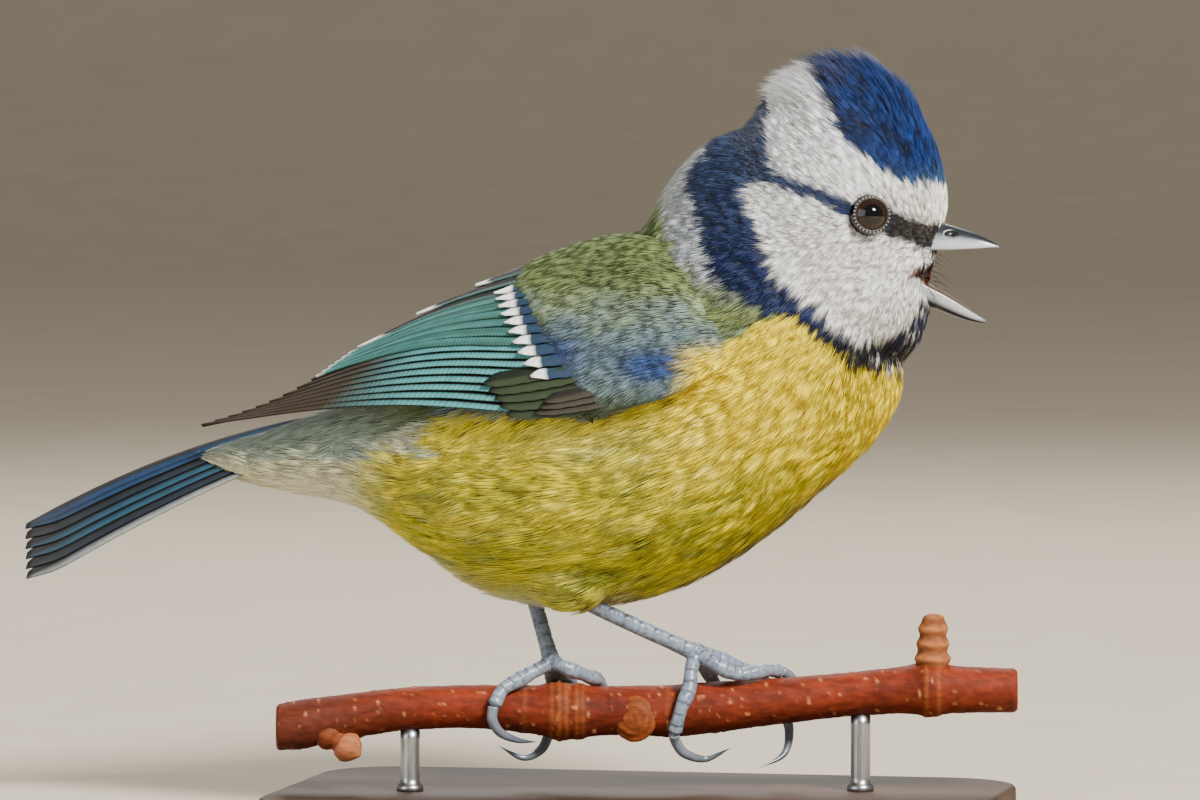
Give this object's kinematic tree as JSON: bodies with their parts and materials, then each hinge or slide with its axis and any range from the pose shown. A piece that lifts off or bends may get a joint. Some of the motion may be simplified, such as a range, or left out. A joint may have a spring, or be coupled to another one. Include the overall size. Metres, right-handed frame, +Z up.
{
  "type": "blue tit figure on a perch",
  "caption": "Life-size small songbird with an open bill, gripping a short cut length of twig held by two rods over a flat display base.",
  "frame": {"origin": "centre of the underside of the display base", "axes": "+X the way the bird faces, +Y the bird's left side, +Z up"},
  "size_m": [0.1122, 0.046, 0.0852],
  "materials": {
    "plumage_head": "soft white, blue and black feathers",
    "plumage_body": "soft yellow and olive feathers",
    "flight_feathers": "smooth blue and slate vanes",
    "eye": "wet gloss, dark brown",
    "horn": "satin slate horn",
    "leg_scales": "satin blue-grey scales",
    "bark": "glossy red-brown bark",
    "stand_wood": "dark satin wood",
    "stand_steel": "brushed"
  },
  "bodies": {
    "root": {"head": "plumage_head", "neck": "plumage_head", "torso": "plumage_body", "rump": "plumage_body", "wing_left": "flight_feathers", "wing_right": "flight_feathers", "tail": "flight_feathers", "eye_left": "eye", "eye_right": "eye", "bill_upper": "horn", "bill_lower": "horn", "thigh_left": "plumage_body", "thigh_right": "plumage_body", "shank_left": "leg_scales", "shank_right": "leg_scales", "toe_left_hind": "leg_scales", "toe_left_middle": "leg_scales", "toe_left_inner": "leg_scales", "toe_left_outer": "leg_scales", "toe_right_hind": "leg_scales", "toe_right_middle": "leg_scales", "toe_right_inner": "leg_scales", "toe_right_outer": "leg_scales", "claw_left_hind": "horn", "claw_left_middle": "horn", "claw_left_inner": "horn", "claw_left_outer": "horn", "claw_right_hind": "horn", "claw_right_middle": "horn", "claw_right_inner": "horn", "claw_right_outer": "horn", "perch_twig": "bark", "stand_base": "stand_wood", "stand_rod_1": "stand_steel", "stand_rod_2": "stand_steel"}
  },
  "joints": []
}
